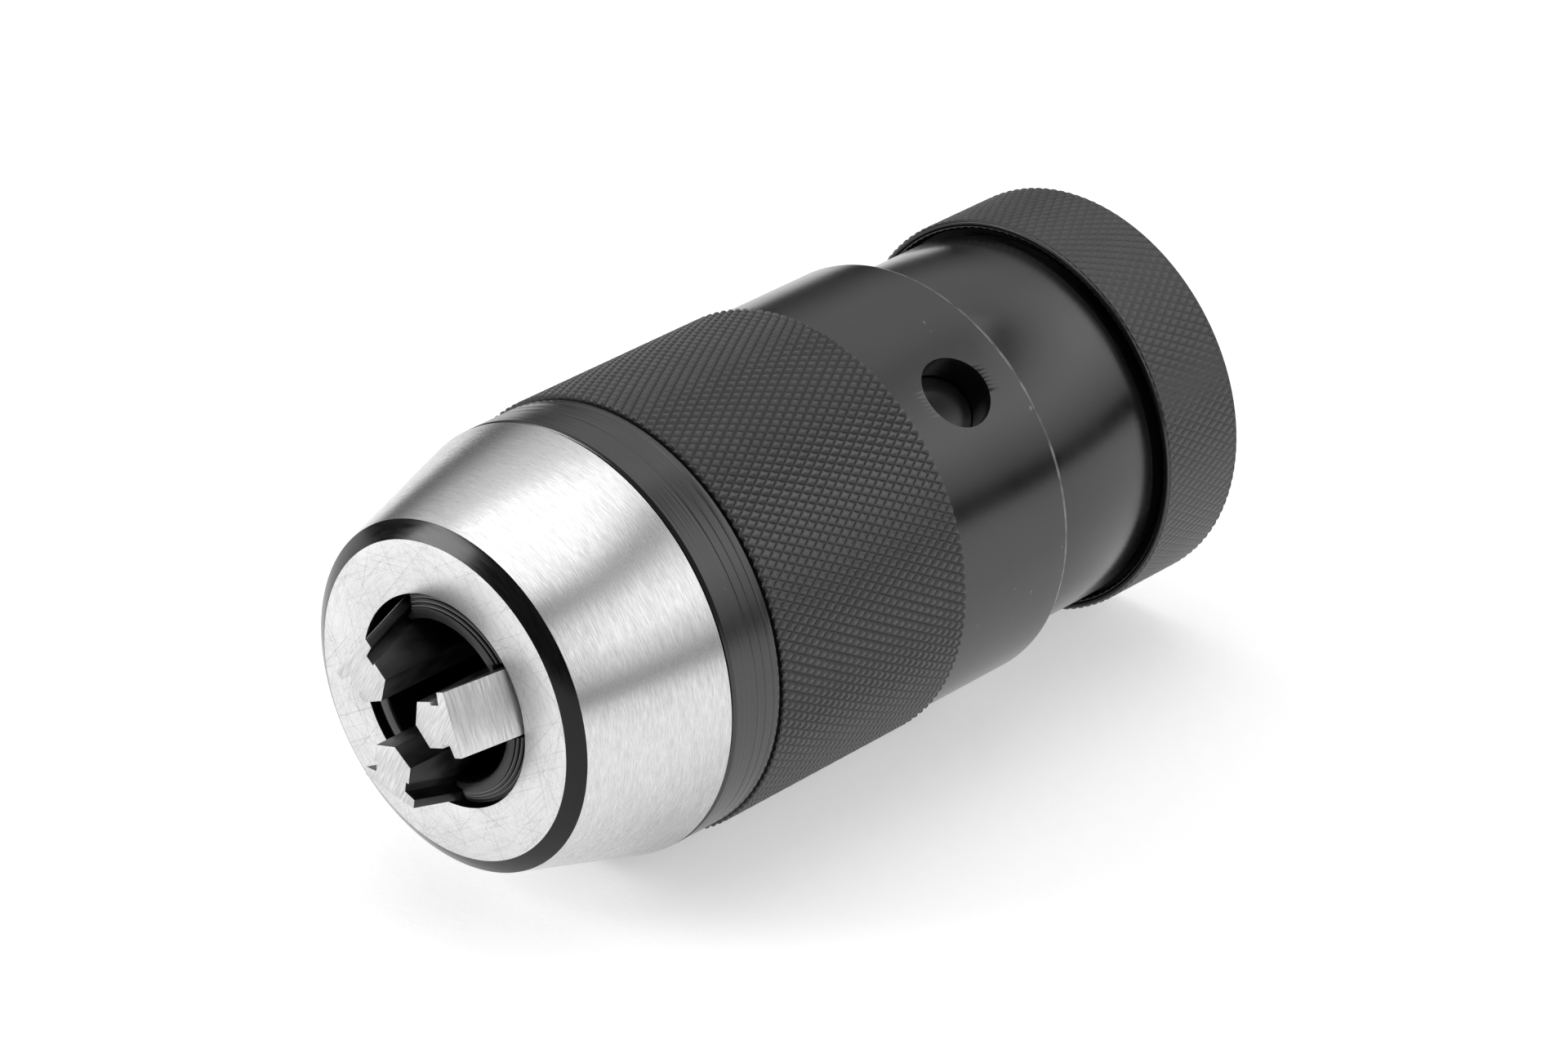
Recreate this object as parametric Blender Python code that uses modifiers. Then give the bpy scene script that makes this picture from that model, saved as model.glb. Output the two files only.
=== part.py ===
"""Keyless, self-tightening drill chuck with three sliding jaws, lying on its sleeve.

Frame: metres, +Z up.  The chuck's axis runs along Y, with the nose at -Y.  The origin is on the
surface that the sleeve lies on, under the middle of the chuck's length.

Every piece is modelled nose up on the axis and the empty "chuck_axis" lays the whole chuck down.
A station is a distance behind the nose face, so a point at station s has local z = -s.
"""
import math

import bmesh
import bpy
from mathutils import Matrix

MM = 0.001
GAP = 0.3 * MM                       # between pieces that touch on the real chuck
SIDES = 32                           # facets round a turned piece
WELD = 0.000001                      # points this close are one point

# The outside, from nose to rear
CHUCK_LENGTH = 103.0 * MM            # nose face to the rear end of the taper body
SLEEVE_RADIUS = 25.0 * MM            # over the knurl
HOOD_LENGTH = 18.0 * MM
KNURL_START = 25.5 * MM
KNURL_END = 54.4 * MM
SLEEVE_END = 72.1 * MM
RING_LENGTH = 12.2 * MM
BODY_PROUD = 0.8 * MM                # the body stands this far out of the rear ring
COLLAR_STEP = 0.4 * MM               # plain collar below the knurl, in front of it
BAND_STEP = 0.6 * MM                 # plain band below the knurl, behind it
CAP_STEP = 3.0 * MM                  # bearing cap below the knurl
RING_STEP = 1.5 * MM                 # rear ring below the knurl

# Hood
MOUTH_RADIUS = 12.0 * MM
FACE_RADIUS = 18.0 * MM              # bright front face
NOSE_CHAMFER = (1.85 * MM, 1.27 * MM)
HOOD_BORE_EASE = math.radians(0.8)   # its bore leans this much less than the jaws
SPIGOT_LENGTH = 8.0 * MM             # threaded part of the hood inside the sleeve

# Jaws
JAW_COUNT = 3
JAW_START = math.radians(20.0)       # turn of the first jaw about the axis
JAW_ANGLE = math.radians(17.0)       # lean of a jaw's back against the axis
JAW_BACK_RADIUS = 10.83 * MM         # back of a jaw at the nose face
JAW_REACH = 6.7 * MM                 # jaw tips stand this far in front of the nose face
GRIP_RADIUS = 2.95 * MM              # nib edge to axis as the chuck stands
GRIP_OPEN = 6.5 * MM
GRIP_CLOSED = 0.5 * MM
NIB_HALF_WIDTH = 2.58 * MM
NIB_POINT = math.radians(64.0)       # half the angle of the nib's edge
WEB_HALF_WIDTH = 2.2 * MM
SLAB_HALF_WIDTH = 3.65 * MM
SLAB_THICKNESS = 1.3 * MM
WEB_HEIGHT = 1.1 * MM
SHOULDER_RISE = 0.25 * MM            # the slab's and the tail's shoulders lean a little
SLOT_CLEARANCE = 0.45 * MM
TAIL_INNER = 4.6 * MM                # hooked tail of a jaw, in the spindle's slot
TAIL_LENGTH = 4.0 * MM
TAIL_NECK_HALF_WIDTH = 1.7 * MM
TAIL_HEAD_HALF_WIDTH = 3.2 * MM
TAIL_NECK = 3.0 * MM
TAIL_HEAD = 2.4 * MM

# Jaw guide
GUIDE_BORE_RADIUS = 9.1 * MM
GUIDE_LIP_RADIUS = 10.7 * MM
GUIDE_SINK = 0.15 * MM               # its front face lies behind the hood's

# Sleeve
SLEEVE_WALL = 3.0 * MM
BAND_WALL = 3.8 * MM
SPANNER_HOLE_RADIUS = 4.3 * MM
SPANNER_HOLE_STATION = 62.7 * MM
SPANNER_HOLE_TURN = math.radians(49.7)
SPANNER_HOLE_COUNT = 3

# Spindle
SPINDLE_HEAD_RADIUS = 13.0 * MM
SPINDLE_HEAD_LENGTH = 10.0 * MM
THREAD_RADIUS = 6.0 * MM
RUN_OUT = 0.6 * MM                   # axial clearance left at each end of the spindle's travel

# Taper body, with a DIN 238 B16 socket
NUT_RADIUS = 10.5 * MM
JOURNAL_RADIUS = 13.0 * MM
FLANGE_THICKNESS = 6.5 * MM
SOCKET_RADIUS = 7.8665 * MM
SOCKET_DEPTH = 26.0 * MM
SOCKET_TAPER = 1 / 20.02             # on the diameter
VENT_RADIUS = 2.5 * MM
WEB_THICKNESS = 2.8 * MM             # between the thread and the socket
NUT_LENGTH = 12.0 * MM               # at least this much in front of the flange

# Bearing cap, thrust bearing and rear ring
SKIRT_WALL = 1.9 * MM
RACE_THICKNESS = 2.0 * MM
BALL_RADIUS = 1.5 * MM
BALL_COUNT = 14
CAGE_THICKNESS = 1.4 * MM
RING_OVERLAP = 1.5 * MM              # the cap's end enters the ring's front recess
RING_RECESS_RADIUS = 17.0 * MM
RING_RECESS_DEPTH = 2.6 * MM
CIRCLIP_THICKNESS = 1.1 * MM
CIRCLIP_WIDTH = 2.4 * MM
CIRCLIP_GROOVE = 0.8 * MM
EDGE = 0.4 * MM                      # small turned chamfers

# Friction spring
SPRING_WIRE_RADIUS = 0.7 * MM
SPRING_TURNS = 4
SPRING_TANG = 2.2 * MM

# ---- places that follow from the sizes above ----
JAW_SLOPE = math.tan(JAW_ANGLE)
TRAVEL_OPEN = (GRIP_OPEN - GRIP_RADIUS) / JAW_SLOPE        # along the axis, from the rest place
TRAVEL_CLOSED = (GRIP_RADIUS - GRIP_CLOSED) / JAW_SLOPE

COLLAR_RADIUS = SLEEVE_RADIUS - COLLAR_STEP
BAND_RADIUS = SLEEVE_RADIUS - BAND_STEP
CAP_RADIUS = SLEEVE_RADIUS - CAP_STEP
RING_RADIUS = SLEEVE_RADIUS - RING_STEP
SLEEVE_BORE = SLEEVE_RADIUS - SLEEVE_WALL
BAND_BORE = BAND_RADIUS - BAND_WALL
GUIDE_RADIUS = SLEEVE_BORE - GAP
SKIRT_RADIUS = BAND_BORE - GAP
SKIRT_BORE = SKIRT_RADIUS - SKIRT_WALL
HOOD_SLOPE = math.tan(JAW_ANGLE - HOOD_BORE_EASE)
HOOD_REAR = HOOD_LENGTH + SPIGOT_LENGTH
GUIDE_STEP = HOOD_REAR + GAP

# The thrust bearing is stacked forward from the cap's inner shoulder to the body's flange.
CAP_SHOULDER = SLEEVE_END + GAP
REAR_RACE = CAP_SHOULDER - GAP - RACE_THICKNESS
BALL_STATION = REAR_RACE - GAP - BALL_RADIUS
FRONT_RACE = BALL_STATION - BALL_RADIUS - GAP - RACE_THICKNESS
FLANGE_REAR = FRONT_RACE - GAP
FLANGE_FRONT = FLANGE_REAR - FLANGE_THICKNESS

# The jaws are as long as the guide's wall and the room in front of the nut let them be.
JAW_BACK_LIMIT = math.sqrt(GUIDE_RADIUS ** 2 - SLAB_HALF_WIDTH ** 2)
SPINDLE_ROOM = GAP + SPINDLE_HEAD_LENGTH + TRAVEL_OPEN + RUN_OUT
JAW_FRONT = -JAW_REACH
JAW_REAR = min((JAW_BACK_LIMIT - JAW_BACK_RADIUS) / JAW_SLOPE - TRAVEL_OPEN,
               FLANGE_FRONT - NUT_LENGTH - SPINDLE_ROOM)
TAIL_REAR = JAW_REAR + TAIL_NECK + TAIL_HEAD

SPINDLE_FRONT = JAW_REAR + GAP
SPINDLE_SHOULDER = SPINDLE_FRONT + SPINDLE_HEAD_LENGTH
HEAD_BORE = SPINDLE_HEAD_RADIUS + GAP
HEAD_BORE_FRONT = SPINDLE_FRONT - TRAVEL_CLOSED - RUN_OUT
NUT_FRONT = SPINDLE_FRONT - GAP + SPINDLE_ROOM

SOCKET_BOTTOM = CHUCK_LENGTH - SOCKET_DEPTH
THREAD_END = SOCKET_BOTTOM - WEB_THICKNESS
SPINDLE_END = THREAD_END - RUN_OUT - TRAVEL_OPEN

SKIRT_FRONT = FLANGE_FRONT + GAP
BAND_SHOULDER = SKIRT_FRONT - 4 * GAP
GUIDE_REAR = BAND_SHOULDER - GAP
RACE_BORE = JOURNAL_RADIUS + GAP
CAP_BORE = JOURNAL_RADIUS + GAP
RACE_RADIUS = SKIRT_BORE - GAP
FLANGE_RADIUS = SKIRT_BORE - GAP
BALL_PITCH_RADIUS = (RACE_BORE + RACE_RADIUS) / 2

RING_REAR = CHUCK_LENGTH - BODY_PROUD
RING_FRONT = RING_REAR - RING_LENGTH
CAP_REAR = RING_FRONT + RING_OVERLAP
RING_SEAT = CAP_REAR + GAP
RING_RECESS = RING_REAR - RING_RECESS_DEPTH
CIRCLIP_FRONT = RING_RECESS + GAP
SPRING_RADIUS = NUT_RADIUS + GAP + SPRING_WIRE_RADIUS

AXIS_HEIGHT = SLEEVE_RADIUS
NOSE_Y = (JAW_REACH - CHUCK_LENGTH) / 2                    # the origin is mid-length
FULL_TURN = 2 * math.pi


def clear_scene():
    for old in list(bpy.data.objects):
        bpy.data.objects.remove(old, do_unlink=True)


def new_collection(name):
    collection = bpy.data.collections.new(name)
    bpy.context.scene.collection.children.link(collection)
    return collection


def metal(name, grey, roughness, metallic=1.0):
    """A Principled material in a neutral grey."""
    material = bpy.data.materials.new(name)
    material.use_nodes = True
    shader = material.node_tree.nodes["Principled BSDF"]
    shader.inputs["Base Color"].default_value = (grey, grey, grey, 1.0)
    shader.inputs["Roughness"].default_value = roughness
    shader.inputs["Metallic"].default_value = metallic
    material.diffuse_color = (grey, grey, grey, 1.0)
    return material


def empty(name, parent=None):
    frame = bpy.data.objects.new(name, None)
    frame.parent = parent
    chuck.objects.link(frame)
    return frame


def place(name, mesh, parent, home, finish=None):
    """Puts a mesh into the chuck or among the cutters as an object of its own."""
    piece = bpy.data.objects.new(name, mesh)
    piece.parent = parent
    home.objects.link(piece)
    if finish:
        mesh.materials.clear()
        mesh.materials.append(finish)
    if home is cutters:
        piece.hide_render = True
        piece.display_type = "WIRE"
    return piece


def evaluated_mesh(source):
    graph = bpy.context.evaluated_depsgraph_get()
    graph.update()
    return bpy.data.meshes.new_from_object(source.evaluated_get(graph), depsgraph=graph)


def settle(piece):
    """Makes the modifiers' result the piece's own mesh, smooth but for its real edges."""
    finish = piece.data.materials[0]
    mesh = evaluated_mesh(piece)
    piece.modifiers.clear()
    piece.data = mesh
    mesh.name = piece.name
    mesh.materials.clear()
    mesh.materials.append(finish)
    mesh.shade_smooth()
    mesh.set_sharp_from_angle(angle=math.radians(30))


def turned(name, outline, parent, home, finish=None, sides=SIDES):
    """A piece turned from (radius, station) points, down its outer side and back up its bore.

    Radii are measured to the middle of a facet, so a flat of the turned piece is at its nominal
    radius.  An outline that starts and ends on the axis is solid, any other is a ring.
    """
    lean = math.tan(math.pi / sides)
    profile = bmesh.new()
    points = [profile.verts.new((radius, radius * lean, -station)) for radius, station in outline]
    solid = outline[0][0] == 0 and outline[-1][0] == 0
    ends = points[1:] if solid else points[1:] + points[:1]
    for start, end in zip(points, ends):
        profile.edges.new((start, end))
    mesh = bpy.data.meshes.new(name)
    profile.to_mesh(mesh)
    profile.free()
    piece = place(name, mesh, parent, home, finish)
    turn = piece.modifiers.new("turn", "SCREW")
    turn.axis = "Z"
    turn.angle = FULL_TURN
    turn.steps = turn.render_steps = sides
    turn.use_merge_vertices = True
    turn.merge_threshold = WELD
    return piece


def prism(name, outline, depth, parent, placement, home, finish=None):
    """A flat outline of (x, y) points drawn out by depth along its own Z, half each way."""
    curve = bpy.data.curves.new(name, "CURVE")
    curve.dimensions = "2D"
    curve.fill_mode = "BOTH"
    curve.extrude = depth / 2
    spline = curve.splines.new("POLY")
    spline.points.add(len(outline) - 1)
    for point, (x, y) in zip(spline.points, outline):
        point.co = (x, y, 0, 1)
    spline.use_cyclic_u = True
    return solid_from_curve(name, curve, parent, placement, home, finish)


def solid_from_curve(name, curve, parent, placement, home, finish=None):
    """Turns a curve into a closed mesh object, so that it can be cut or joined."""
    drawn = bpy.data.objects.new(name + "_curve", curve)
    home.objects.link(drawn)
    mesh = evaluated_mesh(drawn)
    bpy.data.objects.remove(drawn, do_unlink=True)
    welded = bmesh.new()
    welded.from_mesh(mesh)
    bmesh.ops.remove_doubles(welded, verts=welded.verts, dist=WELD)
    bmesh.ops.recalc_face_normals(welded, faces=welded.faces)
    welded.to_mesh(mesh)
    welded.free()
    solid = place(name, mesh, parent, home, finish)
    solid.matrix_local = placement
    return solid


def combine(piece, tool, operation="DIFFERENCE"):
    boolean = piece.modifiers.new(tool.name, "BOOLEAN")
    boolean.operation = operation
    boolean.object = tool


def mirrored(half):
    """A closed outline from its upper half of (x, y) points, given from low x to high x."""
    return half + [(x, -y) for x, y in reversed(half) if y]


def along_axis(turn, front, rear):
    """Placement of an outline in (radius, side) between two stations, turned about the axis."""
    return Matrix.Rotation(turn, 4, "Z") @ Matrix.Translation((0, 0, -(front + rear) / 2))


def along_slope(turn):
    """Placement whose Z runs up a jaw's slope and whose X leaves the jaw's back at right angles."""
    return Matrix.Rotation(turn, 4, "Z") @ Matrix.Rotation(-JAW_ANGLE, 4, "Y")


def along_radius(turn, inner, outer):
    """Placement of an outline in (side, station) drawn out between two radii."""
    face_out = Matrix(((0, 0, -1, 0), (1, 0, 0, 0), (0, -1, 0, 0), (0, 0, 0, 1)))
    return Matrix.Rotation(turn, 4, "Z") @ Matrix.Translation(((inner + outer) / 2, 0, 0)) @ face_out


def turns(count, start=0.0):
    return [start + index * FULL_TURN / count for index in range(count)]


# A jaw's slope is measured by its height: the distance of a plane parallel to its back.
BACK_HEIGHT = JAW_BACK_RADIUS * math.cos(JAW_ANGLE)
SLAB_LOW = BACK_HEIGHT - SLAB_THICKNESS
WEB_LOW = SLAB_LOW - WEB_HEIGHT


def jaw_blank():
    """One jaw: a nib along the axis, and a slab on a narrower web along the slope."""
    edge = NIB_HALF_WIDTH / math.tan(NIB_POINT)
    reach = SLEEVE_RADIUS
    nib = prism("jaw_blank", mirrored([(GRIP_RADIUS, 0), (GRIP_RADIUS + edge, NIB_HALF_WIDTH),
                                       (reach, NIB_HALF_WIDTH)]),
                2 * CHUCK_LENGTH, axis, along_axis(0, JAW_FRONT, JAW_REAR), cutters, steel)
    above = prism("jaw_above_nib", mirrored([(WEB_LOW, reach), (3 * reach, reach)]),
                  4 * CHUCK_LENGTH, axis, along_slope(0), cutters)
    slab = prism("jaw_slab", mirrored([(WEB_LOW - WEB_HEIGHT, WEB_HALF_WIDTH),
                                       (SLAB_LOW, WEB_HALF_WIDTH),
                                       (SLAB_LOW + SHOULDER_RISE, SLAB_HALF_WIDTH),
                                       (BACK_HEIGHT, SLAB_HALF_WIDTH)]),
                 2 * CHUCK_LENGTH, axis, along_slope(0), cutters)
    ends = prism("jaw_ends", mirrored([(-reach, reach), (2 * reach, reach)]),
                 JAW_REAR - JAW_FRONT, axis, along_axis(0, JAW_FRONT, JAW_REAR), cutters)
    neck_end = JAW_REAR + TAIL_NECK
    tail_outline = mirrored([(JAW_REAR - TAIL_NECK, TAIL_NECK_HALF_WIDTH),
                             (neck_end, TAIL_NECK_HALF_WIDTH),
                             (neck_end + SHOULDER_RISE, TAIL_HEAD_HALF_WIDTH),
                             (TAIL_REAR, TAIL_HEAD_HALF_WIDTH)])
    tail = prism("jaw_tail", [(side, station) for station, side in tail_outline], TAIL_LENGTH,
                 axis, along_radius(0, TAIL_INNER, TAIL_INNER + TAIL_LENGTH), cutters)
    combine(nib, above)
    combine(nib, slab, "UNION")
    combine(nib, ends, "INTERSECT")
    combine(nib, tail, "UNION")
    return nib


def make_jaws():
    """The three jaws share one mesh.  Each slides along its own slope in the guide."""
    blank = jaw_blank()
    mesh = evaluated_mesh(blank)
    local = blank.matrix_local.copy()
    mesh.transform(local)
    mesh.name = "jaw"
    blank.modifiers.clear()
    for number, turn in enumerate(turns(JAW_COUNT, JAW_START), start=1):
        jaw = place(f"jaw_{number}", mesh, sleeve_turn, chuck, steel)
        jaw.rotation_euler.z = turn


def make_hood():
    chamfer_out, chamfer_back = NOSE_CHAMFER
    spigot = SLEEVE_BORE - GAP
    turned("hood", [
        (FACE_RADIUS, 0), (FACE_RADIUS + chamfer_out, chamfer_back),
        (COLLAR_RADIUS, HOOD_LENGTH), (spigot, HOOD_LENGTH), (spigot, HOOD_REAR),
        (MOUTH_RADIUS + HOOD_SLOPE * HOOD_REAR, HOOD_REAR), (MOUTH_RADIUS, 0),
    ], sleeve_turn, chuck, bright)


def make_guide():
    """The guide fills the hood and sleeve, and the jaws slide in its three T-shaped slots."""
    lip = MOUTH_RADIUS - GAP
    lip_station = GUIDE_SINK + (lip - GUIDE_LIP_RADIUS) / 2
    step_radius = lip + HOOD_SLOPE * GUIDE_STEP
    tang_room = SPRING_WIRE_RADIUS + GAP
    guide = turned("jaw_guide", [
        (GUIDE_LIP_RADIUS, GUIDE_SINK), (lip + HOOD_SLOPE * lip_station, lip_station),
        (step_radius, GUIDE_STEP), (GUIDE_RADIUS, GUIDE_STEP), (GUIDE_RADIUS, GUIDE_REAR),
        (HEAD_BORE, GUIDE_REAR), (HEAD_BORE, HEAD_BORE_FRONT), (GUIDE_BORE_RADIUS, HEAD_BORE_FRONT),
        (GUIDE_BORE_RADIUS, GUIDE_SINK),
    ], sleeve_turn, chuck, black)
    slot_end = (JAW_REAR + TRAVEL_OPEN) / math.cos(JAW_ANGLE) + GUIDE_RADIUS * math.sin(JAW_ANGLE)
    slab_half = SLAB_HALF_WIDTH + SLOT_CLEARANCE
    nib_half = NIB_HALF_WIDTH + SLOT_CLEARANCE
    slot = mirrored([(-GUIDE_BORE_RADIUS / 2, nib_half), (SLAB_LOW - GAP, nib_half),
                     (SLAB_LOW - GAP + SHOULDER_RISE, slab_half), (2 * GUIDE_RADIUS, slab_half)])
    for number, turn in enumerate(turns(JAW_COUNT, JAW_START), start=1):
        cutter = prism(f"guide_slot_{number}", slot, 2 * slot_end, sleeve_turn,
                       along_slope(turn), cutters)
        combine(guide, cutter)
    notch = [(-tang_room, GUIDE_REAR - 3 * tang_room), (tang_room, GUIDE_REAR - 3 * tang_room),
             (tang_room, GUIDE_REAR + tang_room), (-tang_room, GUIDE_REAR + tang_room)]
    combine(guide, prism("tang_notch", notch, SPRING_TANG + 4 * GAP, sleeve_turn,
                         along_radius(0, HEAD_BORE - GAP, HEAD_BORE + SPRING_TANG), cutters))
    settle(guide)


def make_sleeve():
    sleeve = turned("sleeve", [
        (COLLAR_RADIUS - EDGE, HOOD_LENGTH + GAP), (COLLAR_RADIUS, HOOD_LENGTH + GAP + EDGE),
        (COLLAR_RADIUS, KNURL_START), (SLEEVE_RADIUS, KNURL_START), (SLEEVE_RADIUS, KNURL_END),
        (BAND_RADIUS, KNURL_END), (BAND_RADIUS, SLEEVE_END - EDGE), (BAND_RADIUS - EDGE, SLEEVE_END),
        (BAND_BORE, SLEEVE_END), (BAND_BORE, BAND_SHOULDER), (SLEEVE_BORE, BAND_SHOULDER),
        (SLEEVE_BORE, HOOD_LENGTH + GAP),
    ], sleeve_turn, chuck, black)
    hole_sides = 16
    for number, turn in enumerate(turns(SPANNER_HOLE_COUNT, SPANNER_HOLE_TURN), start=1):
        rim = [(SPANNER_HOLE_RADIUS * math.sin(step), SPANNER_HOLE_STATION
                + SPANNER_HOLE_RADIUS * math.cos(step)) for step in turns(hole_sides)]
        cutter = prism(f"spanner_hole_{number}", rim, BAND_RADIUS, sleeve_turn,
                       along_radius(turn, SLEEVE_RADIUS / 2, 3 * SLEEVE_RADIUS / 2), cutters)
        combine(sleeve, cutter)
    settle(sleeve)


def make_spindle():
    """Screw with a broad head: the jaws' hooked tails slide in its three T-shaped slots."""
    spindle = turned("spindle", [
        (0, SPINDLE_FRONT), (SPINDLE_HEAD_RADIUS, SPINDLE_FRONT),
        (SPINDLE_HEAD_RADIUS, SPINDLE_SHOULDER), (THREAD_RADIUS, SPINDLE_SHOULDER),
        (THREAD_RADIUS, SPINDLE_END - EDGE), (THREAD_RADIUS - EDGE, SPINDLE_END), (0, SPINDLE_END),
    ], sleeve_turn, chuck, steel)
    neck_end = JAW_REAR + TAIL_NECK - GAP
    neck_half = TAIL_NECK_HALF_WIDTH + GAP
    head_half = TAIL_HEAD_HALF_WIDTH + GAP
    slot_outline = mirrored([(SPINDLE_FRONT - TAIL_NECK, neck_half), (neck_end, neck_half),
                             (neck_end + SHOULDER_RISE, head_half), (TAIL_REAR + GAP, head_half)])
    slot = [(side, station) for station, side in slot_outline]
    reach = 2 * SPINDLE_HEAD_RADIUS
    for number, turn in enumerate(turns(JAW_COUNT, JAW_START), start=1):
        cutter = prism(f"tail_slot_{number}", slot, reach + MM, sleeve_turn,
                       along_radius(turn, -MM, reach), cutters)
        combine(spindle, cutter)
    settle(spindle)


def make_taper_body():
    """The piece that stands still: nut, flange and journal, with the arbor's socket behind."""
    socket_end = SOCKET_RADIUS - SOCKET_DEPTH * SOCKET_TAPER / 2
    thread_bore = THREAD_RADIUS + GAP
    groove_rear = CIRCLIP_FRONT + CIRCLIP_THICKNESS + GAP
    groove = JOURNAL_RADIUS - CIRCLIP_GROOVE
    turned("taper_body", [
        (NUT_RADIUS, NUT_FRONT), (NUT_RADIUS, FLANGE_FRONT), (FLANGE_RADIUS, FLANGE_FRONT),
        (FLANGE_RADIUS, FLANGE_REAR), (JOURNAL_RADIUS, FLANGE_REAR),
        (JOURNAL_RADIUS, CIRCLIP_FRONT - GAP), (groove, CIRCLIP_FRONT - GAP), (groove, groove_rear),
        (JOURNAL_RADIUS, groove_rear), (JOURNAL_RADIUS, CHUCK_LENGTH), (SOCKET_RADIUS, CHUCK_LENGTH),
        (socket_end, SOCKET_BOTTOM), (VENT_RADIUS, SOCKET_BOTTOM), (VENT_RADIUS, THREAD_END),
        (thread_bore, THREAD_END), (thread_bore, NUT_FRONT),
    ], axis, chuck, steel)


def make_bearing_cap():
    turned("bearing_cap", [
        (SKIRT_RADIUS, SKIRT_FRONT), (SKIRT_RADIUS, CAP_SHOULDER), (CAP_RADIUS, CAP_SHOULDER),
        (CAP_RADIUS, CAP_REAR), (CAP_BORE, CAP_REAR), (CAP_BORE, CAP_SHOULDER),
        (SKIRT_BORE, CAP_SHOULDER), (SKIRT_BORE, SKIRT_FRONT),
    ], sleeve_turn, chuck, black)


def make_rear_ring():
    recess = CAP_RADIUS + GAP
    ring_bore = JOURNAL_RADIUS + GAP
    turned("rear_ring", [
        (RING_RADIUS - EDGE, RING_FRONT), (RING_RADIUS, RING_FRONT + EDGE),
        (RING_RADIUS, RING_REAR - EDGE), (RING_RADIUS - EDGE, RING_REAR),
        (RING_RECESS_RADIUS, RING_REAR), (RING_RECESS_RADIUS, RING_RECESS),
        (ring_bore, RING_RECESS), (ring_bore, RING_SEAT), (recess, RING_SEAT), (recess, RING_FRONT),
    ], axis, chuck, black)


def make_circlip():
    """Open ring in the body's groove that keeps the rear ring on, with an ear at each end."""
    inner = JOURNAL_RADIUS - CIRCLIP_GROOVE + GAP
    outer = inner + CIRCLIP_WIDTH
    ear = RING_RECESS_RADIUS - 2 * GAP
    opening, ear_width, arc_steps = math.radians(24), math.radians(12), 24
    sweep = FULL_TURN - 2 * opening
    angles = [opening + sweep * step / arc_steps for step in range(arc_steps + 1)]
    reaches = [ear if min(angle, FULL_TURN - angle) < opening + ear_width else outer
               for angle in angles]
    rim = [(reach * math.cos(angle), reach * math.sin(angle))
           for angle, reach in zip(angles, reaches)]
    bore = [(inner * math.cos(angle), inner * math.sin(angle)) for angle in reversed(angles)]
    prism("circlip", rim + bore, CIRCLIP_THICKNESS, axis,
          along_axis(math.pi / 2, CIRCLIP_FRONT, CIRCLIP_FRONT + CIRCLIP_THICKNESS), chuck, steel)


def make_thrust_bearing():
    """Two flat races with a ring of balls between them.  The cage spaces the balls."""
    for name, front, parent in (("race_front", FRONT_RACE, axis),
                                ("race_rear", REAR_RACE, sleeve_turn)):
        rear = front + RACE_THICKNESS
        turned(name, [(RACE_RADIUS, front), (RACE_RADIUS, rear), (RACE_BORE, rear),
                      (RACE_BORE, front)], parent, chuck, bright)
    cage_front = BALL_STATION - CAGE_THICKNESS / 2
    cage_rear = BALL_STATION + CAGE_THICKNESS / 2
    cage = turned("ball_cage", [(RACE_RADIUS, cage_front), (RACE_RADIUS, cage_rear),
                                (RACE_BORE, cage_rear), (RACE_BORE, cage_front)],
                  cage_turn, chuck, brass)
    pocket_sides = 12
    pocket = (BALL_RADIUS + GAP) / math.cos(math.pi / pocket_sides)
    pocket_rim = [(pocket * math.cos(step), pocket * math.sin(step)) for step in turns(pocket_sides)]
    shape = bmesh.new()
    bmesh.ops.create_icosphere(shape, subdivisions=2, radius=BALL_RADIUS)
    ball_mesh = bpy.data.meshes.new("ball")
    shape.to_mesh(ball_mesh)
    shape.free()
    ball_mesh.shade_smooth()
    for number, turn in enumerate(turns(BALL_COUNT), start=1):
        centre = Matrix.Rotation(turn, 4, "Z") @ Matrix.Translation(
            (BALL_PITCH_RADIUS, 0, -BALL_STATION))
        combine(cage, prism(f"ball_pocket_{number}", pocket_rim, 3 * CAGE_THICKNESS,
                            cage_turn, centre, cutters))
        ball = place(f"ball_{number:02d}", ball_mesh, cage_turn, chuck, bright)
        ball.location = centre.to_translation()
    settle(cage)


def make_friction_spring():
    """Coil round the nut.  Its tang sits in the guide, and its grip holds the jaws' setting."""
    steps = 14
    room = FLANGE_FRONT - NUT_FRONT
    first = GUIDE_REAR - 2 * SPRING_WIRE_RADIUS
    pitch = min(2.5 * SPRING_WIRE_RADIUS, (room - 6 * SPRING_WIRE_RADIUS) / SPRING_TURNS)
    coil = [(SPRING_RADIUS + SPRING_TANG, 0, first)]
    for step in range(SPRING_TURNS * steps + 1):
        turn = FULL_TURN * step / steps
        coil.append((SPRING_RADIUS * math.cos(turn), SPRING_RADIUS * math.sin(turn),
                     first - pitch * step / steps))
    wire = bpy.data.curves.new("friction_spring", "CURVE")
    wire.dimensions = "3D"
    wire.bevel_depth = SPRING_WIRE_RADIUS
    wire.bevel_resolution = 2
    wire.use_fill_caps = True
    spline = wire.splines.new("POLY")
    spline.points.add(len(coil) - 1)
    for point, (x, y, station) in zip(spline.points, coil):
        point.co = (x, y, -station, 1)
    solid_from_curve("friction_spring", wire, sleeve_turn, Matrix(), chuck, steel)


clear_scene()
chuck = new_collection("drill_chuck")
cutters = new_collection("cutters")
bright = metal("bright_steel", 0.72, 0.25)
black = metal("black_oxide", 0.05, 0.4)
steel = metal("hardened_steel", 0.45, 0.3)
brass = metal("cage_brass", 0.5, 0.35)

axis = empty("chuck_axis")
axis.location = (0, NOSE_Y, AXIS_HEIGHT)
axis.rotation_euler.x = math.pi / 2
sleeve_turn = empty("sleeve_turn", axis)
cage_turn = empty("cage_turn", axis)

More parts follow.
